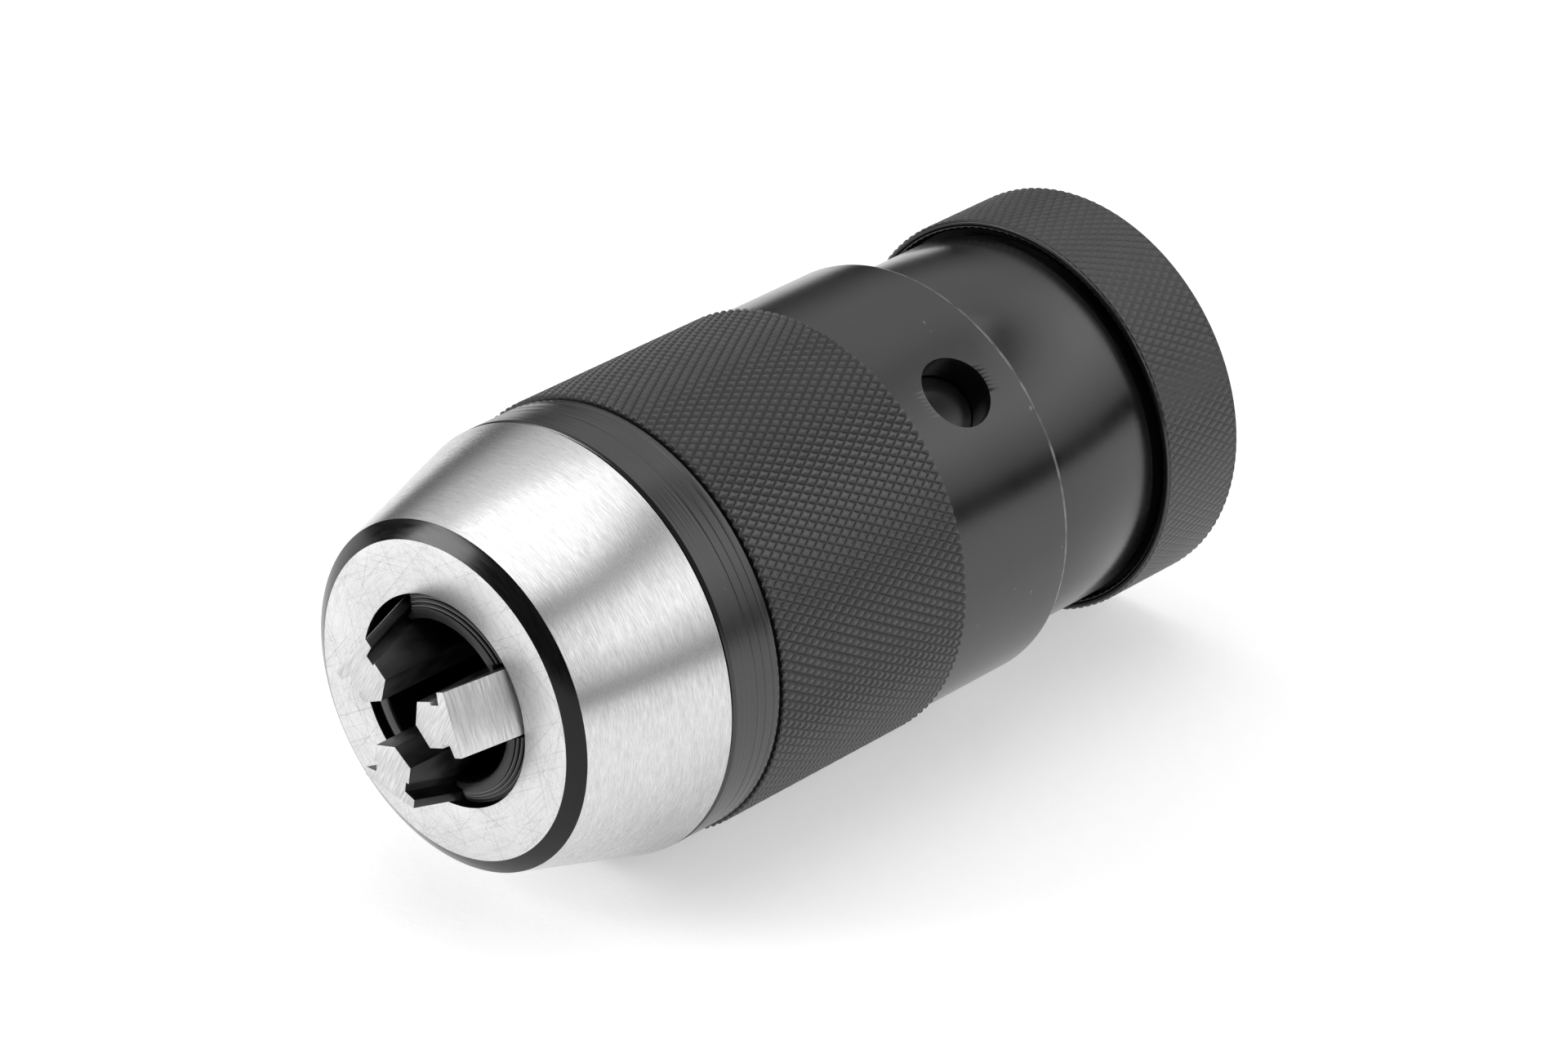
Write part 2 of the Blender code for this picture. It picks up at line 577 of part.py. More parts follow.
make_hood()
make_guide()
make_jaws()
make_sleeve()
make_spindle()
make_taper_body()
make_bearing_cap()
make_rear_ring()
make_circlip()
make_thrust_bearing()
make_friction_spring()
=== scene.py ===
"""Keyless drill chuck lying on its sleeve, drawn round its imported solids."""
import math

import bpy
from mathutils import Matrix, Vector


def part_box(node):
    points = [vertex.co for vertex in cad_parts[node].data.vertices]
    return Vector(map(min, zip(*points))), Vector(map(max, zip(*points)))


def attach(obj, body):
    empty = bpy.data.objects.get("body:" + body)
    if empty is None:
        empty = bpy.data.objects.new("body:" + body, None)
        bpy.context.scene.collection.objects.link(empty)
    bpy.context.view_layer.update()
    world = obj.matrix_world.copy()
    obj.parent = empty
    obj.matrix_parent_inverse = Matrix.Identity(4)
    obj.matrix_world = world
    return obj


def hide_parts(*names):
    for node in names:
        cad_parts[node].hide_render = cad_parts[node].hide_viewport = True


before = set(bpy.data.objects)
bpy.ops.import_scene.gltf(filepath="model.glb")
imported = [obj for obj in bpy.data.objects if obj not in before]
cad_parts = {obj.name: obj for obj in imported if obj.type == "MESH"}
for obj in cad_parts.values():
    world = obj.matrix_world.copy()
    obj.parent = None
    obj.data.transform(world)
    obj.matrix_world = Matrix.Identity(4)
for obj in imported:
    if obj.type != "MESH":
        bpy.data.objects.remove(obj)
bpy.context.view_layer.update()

# ---- Camera, floor and studio lights ----
# The chuck lies on a white table in a bright tent: a broad lamp above, a smaller one in front on
# the left, and white walls, with dark gaps between them that draw streaks along the steel.
camera_data = bpy.data.cameras.new("camera")
camera_data.lens = 146.65
camera_data.clip_start = 0.01
camera = bpy.data.objects.new("camera", camera_data)
camera.location = (0.421825, -0.450277, 0.351478)
camera.rotation_euler = (math.radians(62.30), 0, math.radians(42.87))
bpy.context.scene.collection.objects.link(camera)
bpy.context.scene.camera = camera
bpy.context.scene.view_settings.view_transform = "Standard"

hood_low, hood_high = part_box("hood")
NOSE_Y = hood_low[1]                       # stations are measured back from the nose face
AXIS_Z = (hood_low[2] + hood_high[2]) / 2


class Reading:
    """A shader socket whose sums and products add Math nodes."""

    def __init__(self, finish, socket):
        self.finish, self.socket = finish, socket

    def math(self, operation, *others):
        return self.finish.node("ShaderNodeMath", {"operation": operation}, [self, *others])

    def __add__(self, other):
        return self.math("ADD", other)

    def __sub__(self, other):
        return self.math("SUBTRACT", other)

    def __rsub__(self, other):
        return self.finish.node("ShaderNodeMath", {"operation": "SUBTRACT"}, [other, self])

    def __mul__(self, other):
        return self.math("MULTIPLY", other)

    def __truediv__(self, other):
        return self.math("DIVIDE", other)

    __radd__ = __add__
    __rmul__ = __mul__


class Graph:
    """A node tree that is added to one node at a time."""

    def __init__(self, tree):
        self.tree = tree

    def node(self, kind, settings=None, sockets=(), output=0):
        """Adds a node: its settings first, then the values or links of its sockets."""
        made = self.tree.nodes.new(kind)
        for setting, value in (settings or {}).items():
            if setting == "stops":
                while len(made.color_ramp.elements) < len(value):
                    made.color_ramp.elements.new(1)
                for element, (position, grey) in zip(made.color_ramp.elements, value):
                    element.position, element.color = position, (grey, grey, grey, 1)
            else:
                setattr(made, setting, value)
        pairs = sockets.items() if isinstance(sockets, dict) else enumerate(sockets)
        for socket, value in pairs:
            if isinstance(value, Reading):
                self.join(value, made, socket)
            else:
                made.inputs[socket].default_value = value
        return Reading(self, made.outputs[output])

    def join(self, reading, node, socket):
        self.tree.links.new(reading.socket, node.inputs[socket])

    def split(self, vector):
        outputs = self.node("ShaderNodeSeparateXYZ", sockets=[vector]).socket.node.outputs
        return [Reading(self, output) for output in outputs]

    def vector(self, x, y, z):
        return self.node("ShaderNodeCombineXYZ", sockets=[x, y, z])

    def grain(self, vector, detail=2.0, roughness=0.5):
        """Noise from 0 to 1, mostly near 0.5, about one grain for each unit of the vector."""
        return self.node("ShaderNodeTexNoise", sockets={
            "Vector": vector, "Scale": 1.0, "Detail": detail, "Roughness": roughness})

    def ramp(self, reading, stops):
        return self.node("ShaderNodeValToRGB", {"stops": stops}, [reading])

    def span(self, reading, low, high, to_low=0.0, to_high=1.0):
        """Carries low to to_low and high to to_high, and holds what lies outside them."""
        return self.node("ShaderNodeMapRange", {"clamp": True},
                         [reading, low, high, to_low, to_high])

    def grey(self, reading):
        return self.node("ShaderNodeCombineColor", sockets=[reading, reading, reading])


class Finish(Graph):
    """One finish of the chuck or its table, built on a Principled shader."""

    def __init__(self, name, **plain):
        self.material = bpy.data.materials.new(name)
        self.material.use_nodes = True
        super().__init__(self.material.node_tree)
        self.shader = self.tree.nodes["Principled BSDF"]
        for socket, value in plain.items():
            self.shader.inputs[socket.replace("_", " ")].default_value = value
        across, along, height = self.split(self.node("ShaderNodeTexCoord", output="Object"))
        self.across, self.up, self.station = across, height - AXIS_Z, along - NOSE_Y
        self.radius = (across * across + self.up * self.up).math("SQRT")

    def turned(self, around, per_metre, detail=2.0, roughness=0.5):
        """Marks of a lathe or wheel: long round the axis and narrow along the wall."""
        return self.grain(self.vector(self.across / self.radius * around,
                                      self.up / self.radius * around,
                                      (self.station + self.radius) * per_metre), detail, roughness)

    def speckled(self, per_metre, detail=3.0):
        """Grain of the same size each way."""
        return self.grain(self.vector(self.across * per_metre, self.up * per_metre,
                                      self.station * per_metre), detail)

    def link_surface(self, color=None, roughness=None, height=None, depth=0.00001):
        """Links what changes over the surface to the shader."""
        for socket, reading in (("Base Color", color), ("Roughness", roughness)):
            if reading:
                self.join(reading, self.shader, socket)
        if height:
            bump = self.node("ShaderNodeBump", sockets={"Distance": depth, "Height": height})
            self.join(bump, self.shader, "Normal")


def lamp(name, place, size, watts):
    """A soft square lamp that faces the chuck."""
    data = bpy.data.lights.new(name, "AREA")
    data.size, data.energy = size, watts
    light = bpy.data.objects.new(name, data)
    light.location = place
    light.rotation_euler = Vector(place).to_track_quat("Z", "Y").to_euler()
    bpy.context.scene.collection.objects.link(light)


lamp("lamp_above", (-0.05, 0.05, 1.1), 1.1, 3.6)
lamp("lamp_front_left", (-0.95, -1.05, 0.6), 0.7, 14)

world = bpy.data.worlds.new("tent")
bpy.context.scene.world = world
world.use_nodes = True
tent = Graph(world.node_tree)
east, north, rise = tent.split(tent.node("ShaderNodeTexCoord", output="Generated"))
right_wall = tent.ramp(rise, [(0.0, 0.02), (0.10, 0.03), (0.17, 0.6), (0.5, 1.4), (0.68, 1.1),
                              (0.80, 0.14), (0.88, 0.14), (0.94, 0.7)])
left_wall = tent.ramp(rise, [(0.0, 0.03), (0.15, 0.06), (0.3, 0.25), (0.5, 0.6), (0.8, 0.85)])
to_right = tent.span(east, -0.3, 0.15)
walls = right_wall * to_right + left_wall * (1 - to_right)
behind_camera = tent.span(north, -0.45, 0.0, 0.06, 1.0)
tent.join(tent.grey(walls * behind_camera), world.node_tree.nodes["Background"], "Color")
world.node_tree.nodes["Background"].inputs["Strength"].default_value = 1.15

bpy.ops.object.select_all(action="DESELECT")
bpy.ops.mesh.primitive_plane_add(size=6)
floor = bpy.context.object
floor.name = "floor"
# The table also glows, a painted fill light that lifts the shadows on it; its glow and its colour
# fade between half a metre and 1.4 m out.
white_table = Finish("white_table", Roughness=0.6, Emission_Strength=0.46)
nearby = white_table.span((white_table.radius * white_table.radius + white_table.station
                           * white_table.station).math("SQRT"), 0.5, 1.4, 1.0, 0.6)
white_table.link_surface(color=white_table.grey(nearby * 0.77), height=white_table.speckled(420),
                 depth=0.00012)
white_table.join(white_table.grey(nearby), white_table.shader, "Emission Color")
floor.data.materials.append(white_table.material)


# ---- Hood ----
# The steel nose cone that screws into the sleeve and clamps the jaw guide.  It is turned, its
# cone is brushed bright, its front face is ground, and the chamfer between is left black.
MM = 0.001
MERGE = 0.002 * MM                         # points nearer than this are one point


def turn_ring(name, outline, sides=172):
    """Turns a ring from (radius, station) points in millimetres, down its wall and back."""
    bpy.ops.object.select_all(action="DESELECT")
    now_radius, now_station = outline[0]
    bpy.ops.mesh.primitive_circle_add(
        vertices=sides, radius=now_radius * MM, rotation=(math.pi / 2, 0, 0),
        location=(0, NOSE_Y + now_station * MM, AXIS_Z))
    ring = bpy.context.object
    ring.name = name
    bpy.ops.object.mode_set(mode="EDIT")
    bpy.ops.mesh.select_all(action="SELECT")
    for next_radius, next_station in outline[1:] + outline[:1]:
        step = (0, (next_station - now_station) * MM, 0)
        bpy.ops.mesh.extrude_edges_move(
            TRANSFORM_OT_translate={"value": step, "orient_type": "GLOBAL"})
        if next_radius != now_radius:
            grow = next_radius / now_radius
            bpy.ops.transform.resize(value=(grow, 1, grow), orient_type="GLOBAL",
                                     center_override=(0, NOSE_Y + next_station * MM, AXIS_Z))
        now_radius, now_station = next_radius, next_station
    bpy.ops.mesh.select_all(action="SELECT")
    bpy.ops.mesh.remove_doubles(threshold=MERGE)
    bpy.ops.mesh.normals_make_consistent(inside=False)
    bpy.ops.object.mode_set(mode="OBJECT")
    bpy.ops.object.transform_apply(location=True, rotation=True, scale=True)
    return ring


def apply_modifier(piece, kind, **settings):
    """Adds a modifier, sets it and makes its result the mesh."""
    bpy.ops.object.select_all(action="DESELECT")
    piece.select_set(True)
    bpy.context.view_layer.objects.active = piece
    modifier = piece.modifiers.new(kind.lower(), kind)
    for setting, value in settings.items():
        setattr(modifier, setting, value)
    bpy.ops.object.modifier_apply(modifier=modifier.name)


def break_edges(piece, width, segments=2, angle=25):
    """Breaks the sharp edges and smooths the rest."""
    apply_modifier(piece, "BEVEL", width=width * MM, segments=segments, limit_method="ANGLE",
                   angle_limit=math.radians(angle), harden_normals=False)
    bpy.ops.object.shade_smooth_by_angle(angle=math.radians(angle))


def fit(piece, body, slot, *nodes):
    """Puts a piece on the empty of the body that it rides on, and hides the solids that it stands
    for. The slot is not used.
    """
    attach(piece, body)
    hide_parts(*nodes)


hood = turn_ring("nose_hood", [
    (12.0, 0.0), (18.0, 0.0), (19.85, 1.27), (24.6, 17.85), (24.35, 18.05), (22.0, 18.05),
    (21.7, 18.6), (21.7, 26.0), (19.55, 26.0)])
break_edges(hood, 0.06)

# Bright cone and face: marks follow the turning, with crossing scratches on the ground face.
brushed = Finish("brushed_cone", Metallic=1.0)
marks = brushed.turned(16, 8200, 2.0, 0.6) * 0.75 + brushed.turned(5, 1500) * 0.25
brushed.link_surface(color=brushed.grey(brushed.span(marks, 0.3, 0.7, 0.50, 0.74)),
             roughness=brushed.span(marks, 0.3, 0.7, 0.32, 0.22), height=marks, depth=0.000016)

ground = Finish("ground_face", Metallic=1.0)
SCRATCH_LEANS = (9, 31, 52, 77, 104, 121, 143, 166)
scratches = 0.0
for number, turned in enumerate(SCRATCH_LEANS):
    lean = math.radians(turned)
    along = ground.across * math.cos(lean) + ground.up * math.sin(lean)
    side = ground.up * math.cos(lean) - ground.across * math.sin(lean)
    hair = ground.grain(ground.vector(along * 70, side * 5200, number * 7.3), 2.0)
    scratches = ground.span(hair, 0.60, 0.72) + scratches
sheen = ground.grain(ground.vector(ground.across * 160, ground.up * 160, 3.0), 3.0)
ground_marks = ground.turned(7, 3600) * 0.3 + sheen * 0.25 + scratches * 0.2
ground.link_surface(color=ground.grey(ground.span(ground_marks, 0.15, 0.8, 0.73, 0.40)),
            roughness=ground.span(ground_marks, 0.15, 0.8, 0.38, 0.5),
            height=1 - ground_marks, depth=0.000012)

gloss_black = Finish("gloss_black", Specular_IOR_Level=0.28)
ring_marks = gloss_black.turned(8, 2600)
gloss_black.link_surface(color=gloss_black.grey(gloss_black.span(ring_marks, 0.3, 0.7, 0.003, 0.007)),
                 roughness=gloss_black.span(ring_marks, 0.3, 0.7, 0.16, 0.24),
                 height=ring_marks, depth=0.000004)


def coat(piece, *finishes):
    """Gives a piece its finishes, the first of them on every face."""
    for finish in finishes:
        piece.data.materials.append(finish.material)


def paint_faces(piece, slot, choose):
    """Gives the faces that choose(radius, station, normal) picks another material slot."""
    for face in piece.data.polygons:
        x, y, z = face.center
        place = (math.hypot(x, z - AXIS_Z) / MM, (y - NOSE_Y) / MM)
        if choose(*place, face.normal):
            face.material_index = slot


FACE_RADIUS, CHAMFER_END = 18.02, 1.29
coat(hood, brushed, ground, gloss_black)
paint_faces(hood, 1, lambda radius, station, normal: station < 0.2 and radius < FACE_RADIUS)
paint_faces(hood, 2, lambda radius, station, normal: station > 18.1
            or (radius >= FACE_RADIUS and station < CHAMFER_END)
            or (radius < 12.1 + 0.3 * station and station > 0.03))
fit(hood, "sleeve_assembly", "ground_steel", "hood")


# ---- Jaw guide ----
# The black block inside hood and sleeve that carries the jaws.  Its bore and the fine steps
# round its lip are turned, and three T-shaped slots are broached up it at the jaws' slope.
guide = turn_ring("guide_block", [
    (9.1, 0.35), (9.3, 0.15), (10.4, 0.15), (10.4, 0.40), (10.8, 0.40), (10.8, 0.65),
    (11.2, 0.65), (11.2, 0.90), (11.6, 0.90), (11.6, 1.15), (11.85, 1.15), (19.34, 26.3),
    (21.7, 26.3), (21.7, 56.5), (13.3, 56.5), (13.3, 14.62), (9.1, 14.62)])

TURN = 2 * math.pi
JAW_SLOPE = math.radians(17.0)
JAW_TURNS = [math.radians(20.0) + number * TURN / 3 for number in range(3)]


def lay_down(turned):
    """Frame with X out from the axis at a turn, Y across it and Z forward along the chuck."""
    return (Matrix.Translation((0, NOSE_Y, AXIS_Z)) @ Matrix.Rotation(math.pi / 2, 4, "X")
            @ Matrix.Rotation(turned, 4, "Z"))


def jaw_frame(turned):
    """Frame with X square out of a jaw's back, Y across it and Z forward up its slope."""
    return lay_down(turned) @ Matrix.Rotation(-JAW_SLOPE, 4, "Y")


def cutting_block(name, frame_here, low, high):
    """A block between two corners in millimetres in the frame given."""
    middle = Vector([(a + b) / 2 * MM for a, b in zip(low, high)])
    bpy.ops.object.select_all(action="DESELECT")
    bpy.ops.mesh.primitive_cube_add(
        size=1, location=frame_here @ middle, rotation=frame_here.to_euler(),
        scale=[(b - a) * MM for a, b in zip(low, high)])
    bpy.context.object.name = name
    return bpy.context.object


def cut(piece, *cutters):
    """Takes the cutters' shapes out of a piece, and the cutters away."""
    for cutter in cutters:
        apply_modifier(piece, "BOOLEAN", object=cutter, operation="DIFFERENCE", solver="EXACT")
        bpy.data.objects.remove(cutter)


for turned in JAW_TURNS:
    slope = jaw_frame(turned)
    cut(guide, cutting_block("nib_slot", slope, (-4.5, -3.03, -42.5), (9.2, 3.03, 42.5)),
        cutting_block("slab_slot", slope, (8.76, -4.1, -42.5), (43.0, 4.1, 42.5)))
cut(guide, cutting_block("tang_notch", lay_down(0), (13.0, -1.0, -57.5), (15.6, 1.0, -53.5)))
break_edges(guide, 0.05, angle=35)

guide_black = Finish("guide_black", Specular_IOR_Level=0.4)
tool_marks = guide_black.turned(7, 3000)
# The lip's front face and thin rings on its fine steps are painted lighter: painted highlights
# standing for the step edges catching the light.
lip = guide_black.span(guide_black.station, 0.18 * MM, 0.22 * MM, 1.0, 0.0)
STEP_WIDTH = 0.4 * MM
step_highlights = ((guide_black.radius * (TURN / STEP_WIDTH)).math("SINE").math("GREATER_THAN", 0.6)
         * guide_black.span(guide_black.station, 1.2 * MM, 1.22 * MM, 1.0, 0.0)
         * guide_black.span(guide_black.radius, 10.3 * MM, 10.35 * MM))
guide_black.link_surface(
    color=guide_black.grey(guide_black.span(tool_marks, 0.3, 0.7, 0.002, 0.006) + lip * 0.02
                           + step_highlights * 0.16),
    roughness=guide_black.span(tool_marks, 0.3, 0.7, 0.3, 0.42), height=tool_marks,
    depth=0.000008)
coat(guide, guide_black)
fit(guide, "sleeve_assembly", "black_oxide", "jaw_guide")


# ---- Jaws ----
# Three hardened steel jaws.  Each has a V-edged nib under a broad slab, and a hooked tail.
# Backs and ends are ground bright across the jaw, and the rest keeps its black heat treatment.
JAW_END = -6.7 * MM                        # the jaws stand this far out of the nose
jaw_bright = Finish("jaw_ground", Metallic=1.0)
cross = jaw_bright.grain(jaw_bright.vector(jaw_bright.across * 300, jaw_bright.station * 5200,
                                           jaw_bright.up * 300), 3.0, 0.7)
lean = math.radians(62)
swept = jaw_bright.grain(jaw_bright.vector(
    (jaw_bright.across * math.cos(lean) + jaw_bright.up * math.sin(lean)) * 350,
    (jaw_bright.up * math.cos(lean) - jaw_bright.across * math.sin(lean)) * 9000, 1.0), 2.0, 0.6)
on_end = jaw_bright.span(jaw_bright.station, JAW_END + 0.02 * MM, JAW_END + 0.1 * MM, 1.0, 0.0)
jaw_marks = swept * on_end + cross * (1 - on_end)
jaw_bright.link_surface(
    color=jaw_bright.grey(jaw_bright.span(jaw_marks, 0.3, 0.7, 0.56, 0.92) * (1 - on_end * 0.22)),
    roughness=jaw_bright.span(jaw_marks, 0.32, 0.66, 0.5, 0.38), height=jaw_marks, depth=0.00004)

jaw_black = Finish("jaw_black", Specular_IOR_Level=0.4)
scale_marks = jaw_black.grain(jaw_black.vector(
    jaw_black.across * 700, jaw_black.station * 260, jaw_black.up * 700), 4.0, 0.6)
jaw_black.link_surface(color=jaw_black.grey(jaw_black.span(scale_marks, 0.4, 0.7, 0.005, 0.022)),
               roughness=jaw_black.span(scale_marks, 0.3, 0.7, 0.28, 0.45),
               height=scale_marks, depth=0.00002)


def copy_solid(node, name):
    """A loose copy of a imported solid, with its triangles joined up into whole faces."""
    piece = bpy.data.objects.new(name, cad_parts[node].data.copy())
    bpy.context.scene.collection.objects.link(piece)
    bpy.ops.object.select_all(action="DESELECT")
    piece.select_set(True)
    bpy.context.view_layer.objects.active = piece
    bpy.ops.object.mode_set(mode="EDIT")
    bpy.ops.mesh.select_all(action="SELECT")
    bpy.ops.mesh.remove_doubles(threshold=MERGE)
    bpy.ops.mesh.customdata_custom_splitnormals_clear()
    bpy.ops.mesh.dissolve_limited(angle_limit=math.radians(1))
    bpy.ops.object.mode_set(mode="OBJECT")
    piece.data.materials.clear()
    return piece


first_jaw = copy_solid("jaw_1", "sliding_jaw_1")
break_edges(first_jaw, 0.08)
coat(first_jaw, jaw_black, jaw_bright)
back = jaw_frame(JAW_TURNS[0]).to_3x3() @ Vector((1, 0, 0))
front = Vector((0, -1, 0))
paint_faces(first_jaw, 1, lambda radius, station, normal: normal.dot(back) > 0.8
            or (normal.dot(front) > 0.8 and station < 0))
for number, turned in enumerate(JAW_TURNS, 1):
    jaw = first_jaw
    if number > 1:
        jaw = bpy.data.objects.new(f"sliding_jaw_{number}", first_jaw.data.copy())
        bpy.context.scene.collection.objects.link(jaw)
        jaw.data.transform(lay_down(turned) @ lay_down(JAW_TURNS[0]).inverted())
    fit(jaw, f"jaw_slide_{number}", "bright_steel", f"jaw_{number}")


# ---- Sleeve ----
# The black steel grip that turns.  Raised diamonds are rolled round its middle, the collar and
# band beside them are turned smooth, and three holes in the band take a pin spanner.
def knurled_band(name, radius, first, last, around, rows, depth, flank):
    """A closed band of raised diamonds: one tile, copied along and then round."""
    # A tile is two by two faces, cut from edge to edge into a whole diamond and four quarters.
    low = radius - depth
    tile_width = 2 * low * MM * math.tan(math.pi / around)
    tile_length = (last - first) * MM / rows
    bpy.ops.object.select_all(action="DESELECT")
    middle = Vector((0, NOSE_Y + first * MM + tile_length / 2, AXIS_Z + low * MM))
    bpy.ops.mesh.primitive_grid_add(x_subdivisions=2, y_subdivisions=2, size=tile_length,
                                    location=middle)
    band = bpy.context.object
    band.name = name
    bpy.ops.transform.resize(value=(tile_width / tile_length, 1, 1), center_override=middle)
    bpy.ops.object.transform_apply(location=True, rotation=True, scale=True)

    def off_middle(point):
        return (abs(point.x - middle.x) > tile_width / 4) + (abs(point.y - middle.y)
                                                              > tile_length / 4)

    def pick(kind, choose):
        bpy.ops.object.mode_set(mode="EDIT")
        bpy.ops.mesh.select_mode(type="VERT" if kind == "vertices" else "FACE")
        bpy.ops.mesh.select_all(action="DESELECT")
        bpy.ops.object.mode_set(mode="OBJECT")
        for item in getattr(band.data, kind):
            item.select = choose(item)
        bpy.ops.object.mode_set(mode="EDIT")

    pick("vertices", lambda vertex: off_middle(vertex.co) == 1)
    bpy.ops.mesh.vert_connect()
    pick("vertices", lambda vertex: off_middle(vertex.co) == 0)
    bpy.ops.mesh.dissolve_verts()
    bpy.ops.object.mode_set(mode="OBJECT")
    for diamond in [face.center.copy() for face in band.data.polygons]:
        pick("polygons", lambda face: (face.center - diamond).length < tile_width / 20)
        bpy.ops.mesh.inset(thickness=flank * MM, use_boundary=False)
        bpy.ops.transform.translate(value=(0, 0, depth * MM))
    bpy.ops.object.mode_set(mode="OBJECT")
    apply_modifier(band, "ARRAY", count=rows, use_relative_offset=False,
                   use_constant_offset=True, constant_offset_displace=(0, tile_length, 0),
                   use_merge_vertices=True, merge_threshold=MERGE)
    bpy.ops.object.mode_set(mode="EDIT")
    bpy.ops.mesh.select_all(action="SELECT")
    bpy.ops.mesh.spin(steps=around - 1, dupli=True, angle=TURN * (around - 1) / around,
                      center=(0, NOSE_Y, AXIS_Z), axis=(0, 1, 0))
    bpy.ops.mesh.select_all(action="SELECT")
    bpy.ops.mesh.remove_doubles(threshold=10 * MERGE)
    # Both open ends are carried out and down in a chamfer, then inwards, and a wall joins them.
    bpy.ops.mesh.select_mode(type="EDGE")
    bpy.ops.mesh.select_non_manifold(extend=False, use_wire=False, use_multi_face=False,
                                     use_non_contiguous=False, use_verts=False)
    half_way = (0, NOSE_Y + (first + last) / 2 * MM, AXIS_Z)
    chamfer = 0.2
    longer = (last - first + 2 * chamfer) / (last - first)
    for shrink, stretch in ((0.992, longer), (0.97, 1)):
        bpy.ops.mesh.extrude_edges_move()
        bpy.ops.transform.resize(value=(shrink, stretch, shrink), orient_type="GLOBAL",
                                 center_override=half_way)
    bpy.ops.mesh.bridge_edge_loops()
    bpy.ops.mesh.select_all(action="SELECT")
    bpy.ops.mesh.normals_make_consistent(inside=False)
    bpy.ops.object.mode_set(mode="OBJECT")
    bpy.ops.object.shade_smooth_by_angle(angle=math.radians(20))
    return band


def join(piece, *others):
    """Makes other meshes part of a piece."""
    bpy.ops.object.select_all(action="DESELECT")
    for other in (piece, *others):
        other.select_set(True)
    bpy.context.view_layer.objects.active = piece
    bpy.ops.object.join()


# The collar has three fine lines turned in it, and a relief groove before the knurl.
sleeve = turn_ring("grip_sleeve", [
    (24.3, 18.3), (24.6, 18.6), (24.6, 21.7), (24.54, 21.76), (24.6, 21.82), (24.6, 22.9),
    (24.54, 22.96), (24.6, 23.02), (24.6, 24.1), (24.54, 24.16), (24.6, 24.22), (24.6, 25.1),
    (24.5, 25.2), (24.1, 25.25), (24.1, 25.9), (24.4, 25.9), (24.4, 56.8), (24.4, 68.6),
    (24.4, 71.2), (24.33, 71.5), (24.1, 71.85), (23.8, 72.1), (20.6, 72.1), (20.6, 56.8),
    (22.0, 56.8), (22.0, 18.3)], sides=300)
HOLE_TURNS = [math.radians(49.7) + number * TURN / 3 for number in range(3)]
HOLE_RADIUS, HOLE_STATION = 4.3, 62.7
for turned in HOLE_TURNS:
    bpy.ops.object.select_all(action="DESELECT")
    aim = lay_down(turned)
    bpy.ops.mesh.primitive_cylinder_add(
        vertices=64, radius=HOLE_RADIUS * MM, depth=12 * MM,
        location=aim @ Vector((24 * MM, 0, -HOLE_STATION * MM)),
        rotation=(aim @ Matrix.Rotation(math.pi / 2, 4, "Y")).to_euler())
    cut(sleeve, bpy.context.object)
break_edges(sleeve, 0.1, angle=35)
apply_modifier(sleeve, "WEIGHTED_NORMAL", mode="FACE_AREA", weight=100, keep_sharp=True)

satin_black = Finish("satin_black", Specular_IOR_Level=0.75)
collar = satin_black.span(satin_black.station, 25.4 * MM, 25.6 * MM, 1.0, 0.06)
lathe_lines = satin_black.turned(1.5, 3000, 2.0, 0.5) * collar
patina = lathe_lines + satin_black.speckled(110) * 0.8
specks = satin_black.span(satin_black.speckled(900, 1.0), 0.77, 0.80)
satin_black.link_surface(
    color=satin_black.grey(satin_black.span(patina, 0.25, 1.1, 0.003, 0.022) + specks * 0.08),
    roughness=satin_black.span(patina, 0.3, 1.1, 0.19, 0.27), height=patina, depth=0.00003)

GRIP_RADIUS = 25.0
knurl_black = Finish("knurl_black", Specular_IOR_Level=0.8)
crest = knurl_black.span(knurl_black.radius, (GRIP_RADIUS - 0.2) * MM, (GRIP_RADIUS - 0.02) * MM)
rub = knurl_black.speckled(420)
knurl_black.link_surface(color=knurl_black.grey(0.002 + crest * rub * 0.045),
                 roughness=0.46 - crest * 0.12, height=rub, depth=0.00002)

# The band's rear chamfer is painted a paler, part-metallic grey, so it shows as a light line round
# the edge.
pale_rear_edge = Finish("pale_rear_edge", Metallic=0.6)
edge_grain = pale_rear_edge.speckled(500)
pale_rear_edge.link_surface(color=pale_rear_edge.grey(pale_rear_edge.span(edge_grain, 0.35, 0.65, 0.10, 0.26)),
               roughness=pale_rear_edge.span(edge_grain, 0.35, 0.65, 0.4, 0.3))

coat(sleeve, satin_black, knurl_black, pale_rear_edge)
paint_faces(sleeve, 2, lambda radius, station, normal: station > 71.2 and radius > 24.0)
knurl = knurled_band("sleeve_knurl", radius=GRIP_RADIUS, first=25.7, last=54.2, around=133,
                     rows=14, depth=0.24, flank=0.34)
coat(knurl, satin_black, knurl_black)
paint_faces(knurl, 1, lambda radius, station, normal: True)
join(sleeve, knurl)
fit(sleeve, "sleeve_assembly", "black_oxide", "sleeve")


# ---- Bearing cap ----
# The smaller black cylinder behind the sleeve.  It is turned and polished, and its skirt
# screws into the sleeve and holds the thrust bearing up against the body's flange.
cap = turn_ring("bearing_cap_turned", [
    (20.3, 58.0), (20.3, 72.4), (21.8, 72.4), (22.0, 72.6), (22.0, 89.0), (21.2, 89.2),
    (21.2, 91.5), (13.3, 91.5), (13.3, 72.4), (18.4, 72.4), (18.4, 58.0)])
break_edges(cap, 0.08)
polished_black = Finish("polished_black", Specular_IOR_Level=0.75)
polish = polished_black.turned(2, 5200, 3.0, 0.6) * 0.4 + polished_black.speckled(90) * 0.8
polished_black.link_surface(
    color=polished_black.grey(polished_black.span(polish, 0.4, 0.8, 0.003, 0.012)),
    roughness=polished_black.span(polish, 0.45, 0.75, 0.17, 0.26), height=polish, depth=0.000003)
